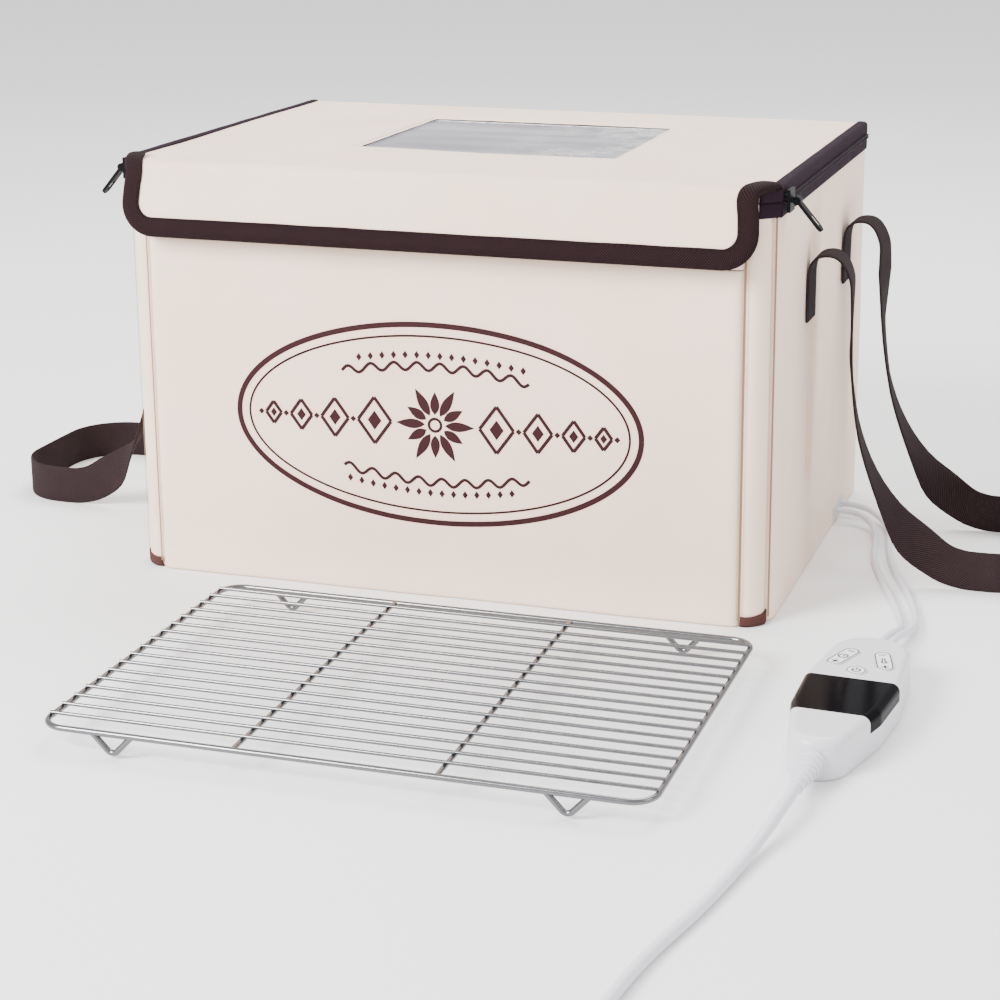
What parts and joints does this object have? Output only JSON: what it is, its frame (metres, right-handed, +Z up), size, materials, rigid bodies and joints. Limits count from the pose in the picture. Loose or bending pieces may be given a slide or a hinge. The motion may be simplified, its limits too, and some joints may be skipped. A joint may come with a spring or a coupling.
{
  "type": "folding dough proofer",
  "caption": "Soft folding proofing box: zipped lid with a window, bound front flap, webbing handles, heating mat, in-line controller with keys, and a wire rack.",
  "frame": {"origin": "centre of the box's underside", "axes": "+Z up, -Y towards the front flap, +X towards the side where the leads leave"},
  "size_m": [0.77, 1.0007, 0.2805],
  "materials": {
    "cream_fabric": "coated oxford cloth, soft sheen",
    "foam_board": "foam board with silver foil",
    "foil_liner": "crinkled silver foil cloth",
    "brown_binding": "ribbed binding tape",
    "brown_tape": "woven zip and hook-and-loop tape",
    "webbing": "woven webbing",
    "window": "clear flexible film",
    "zip_metal": "black enamel",
    "rubber": "soft rubber",
    "heating_film": "carbon film",
    "white_cord": "satin vinyl",
    "probe_steel": "steel",
    "white_plastic": "satin moulded plastic",
    "display": "glossy black",
    "board": "circuit board",
    "blade_metal": "plated brass",
    "rack_wire": "chrome plated wire"
  },
  "bodies": {
    "tub": {"bottom_cover": "cream_fabric", "base_board": "foam_board", "curb_foam": "foam_board", "curb_cover": "cream_fabric", "tub_liner": "foil_liner", "cable_grommet": "rubber", "side_wall_left": "cream_fabric", "side_wall_right": "cream_fabric", "corner_gussets": "cream_fabric", "wall_zip_tapes": "brown_tape", "mat_sheets": "foil_liner", "heating_element": "heating_film", "mat_gland": "rubber", "inner_leads": "white_cord", "temperature_probe": "probe_steel", "controller_lower": "white_plastic", "controller_upper": "white_plastic", "display_window": "display", "circuit_board": "board", "cord_boot": "white_cord", "ribbed_relief": "white_cord", "controller_screws": "probe_steel", "heater_cord": "white_cord", "sensor_cord": "white_cord", "mains_cord": "white_cord", "mains_coil": "white_cord", "coil_tie": "rubber", "plug_body": "white_cord", "plug_blades": "blade_metal"},
    "front_panel": {"front_board": "foam_board", "front_cover": "cream_fabric"},
    "header": {"header_board": "foam_board", "header_cover": "cream_fabric", "loop_tape": "brown_tape"},
    "back_lower": {"back_lower_board": "foam_board", "back_lower_cover": "cream_fabric"},
    "back_upper": {"back_upper_board": "foam_board", "back_upper_cover": "cream_fabric"},
    "lid_carrier": {"hinge_strip": "brown_binding"},
    "lid": {"lid_board": "foam_board", "lid_cover": "cream_fabric", "window_pane": "window", "lid_zip_tapes": "brown_tape"},
    "flap": {"flap_panel": "cream_fabric", "flap_binding": "brown_binding", "hook_tape": "brown_tape"},
    "rack": {"rack_border": "rack_wire", "rack_cross_wires": "rack_wire"},
    "power_key": {"power_key": "white_plastic"},
    "timer_rocker": {"timer_rocker": "white_plastic"},
    "heat_rocker": {"heat_rocker": "white_plastic"},
    "zip_slider_left": {"zip_slider_left": "zip_metal"},
    "pull_tab_left": {"pull_tab_left": "zip_metal"},
    "handle_mount_left": {"handle_mount_left": "webbing"},
    "handle_loop_left": {"handle_loop_left": "webbing"},
    "zip_slider_right": {"zip_slider_right": "zip_metal"},
    "pull_tab_right": {"pull_tab_right": "zip_metal"},
    "handle_mount_right": {"handle_mount_right": "webbing"},
    "handle_loop_right": {"handle_loop_right": "webbing"}
  },
  "joints": [
    {"name": "fold", "type": "hinge", "parent": "tub", "child": "back_lower", "pos_m": [0, 0.152, 0.049], "axis": [1, 0, 0], "range_deg": [0, 90], "deforming": ["side_wall_left", "side_wall_right", "corner_gussets", "wall_zip_tapes", "handle_loop_left", "handle_loop_right"]},
    {"name": "back_knee", "type": "hinge", "parent": "back_lower", "child": "back_upper", "pos_m": [0, 0.1603, 0.1595], "axis": [1, 0, 0], "range_deg": [-180, 0]},
    {"name": "lid_level", "type": "hinge", "parent": "back_upper", "child": "lid_carrier", "pos_m": [0, 0.152, 0.27], "axis": [1, 0, 0], "range_deg": [0, 90]},
    {"name": "front_fold", "type": "hinge", "parent": "tub", "child": "front_panel", "pos_m": [0, -0.152, 0.046], "axis": [-1, 0, 0], "range_deg": [0, 90]},
    {"name": "header_fold", "type": "hinge", "parent": "front_panel", "child": "header", "pos_m": [0, -0.1603, 0.231], "axis": [-1, 0, 0], "range_deg": [-180, 0]},
    {"name": "lid_open", "type": "hinge", "parent": "lid_carrier", "child": "lid", "pos_m": [0, 0.1617, 0.28], "axis": [-1, 0, 0], "range_deg": [0, 135]},
    {"name": "flap_lift", "type": "hinge", "parent": "lid", "child": "flap", "pos_m": [0, -0.161, 0.28], "axis": [-1, 0, 0], "range_deg": [0, 100]},
    {"name": "zip_left", "type": "slide", "parent": "lid", "child": "zip_slider_left", "axis": [0, 1, 0], "range_m": [0, 0.27]},
    {"name": "pull_left", "type": "hinge", "parent": "zip_slider_left", "child": "pull_tab_left", "pos_m": [-0.2287, -0.135, 0.272], "axis": [0, 1, 0], "range_deg": [-38, 100]},
    {"name": "handle_drop_left", "type": "slide", "parent": "tub", "child": "handle_mount_left", "axis": [0, 0, -1], "range_m": [0, 0.156]},
    {"name": "handle_swing_left", "type": "hinge", "parent": "handle_mount_left", "child": "handle_loop_left", "pos_m": [-0.249, 0.02, 0.186], "axis": [0, 1, 0], "range_deg": [0, 140]},
    {"name": "zip_right", "type": "slide", "parent": "lid", "child": "zip_slider_right", "axis": [0, 1, 0], "range_m": [0, 0.27]},
    {"name": "pull_right", "type": "hinge", "parent": "zip_slider_right", "child": "pull_tab_right", "pos_m": [0.2287, -0.135, 0.272], "axis": [0, -1, 0], "range_deg": [-38, 100]},
    {"name": "handle_drop_right", "type": "slide", "parent": "tub", "child": "handle_mount_right", "axis": [0, 0, -1], "range_m": [0, 0.156]},
    {"name": "handle_swing_right", "type": "hinge", "parent": "handle_mount_right", "child": "handle_loop_right", "pos_m": [0.249, 0.02, 0.186], "axis": [0, -1, 0], "range_deg": [0, 140]},
    {"name": "rack_lift", "type": "slide", "parent": "tub", "child": "rack", "axis": [0, 0, 1], "range_m": [0, 0.12]},
    {"name": "power_press", "type": "slide", "parent": "tub", "child": "power_key", "axis": [0, 0, -1], "range_m": [0, 0.0006], "stiffness_N_per_m": 800, "springref_m": -0.001},
    {"name": "timer_rock", "type": "hinge", "parent": "tub", "child": "timer_rocker", "pos_m": [0.28511, -0.24943, 0.02], "axis": [0.9397, -0.342, 0], "range_deg": [-3, 3], "stiffness_Nm_per_rad": 0.05},
    {"name": "heat_rock", "type": "hinge", "parent": "tub", "child": "heat_rocker", "pos_m": [0.30908, -0.25068, 0.02], "axis": [0.9703, 0.2419, 0], "range_deg": [-3, 3], "stiffness_Nm_per_rad": 0.05}
  ],
  "couplings": [
    {"joint": "back_knee", "follows": "fold", "ratio": -2},
    {"joint": "lid_level", "follows": "fold", "ratio": 1},
    {"joint": "front_fold", "follows": "fold", "ratio": 1},
    {"joint": "header_fold", "follows": "fold", "ratio": -2},
    {"joint": "handle_drop_left", "follows": "fold", "m_per_rad": 0.0993},
    {"joint": "handle_drop_right", "follows": "fold", "m_per_rad": 0.0993}
  ]
}
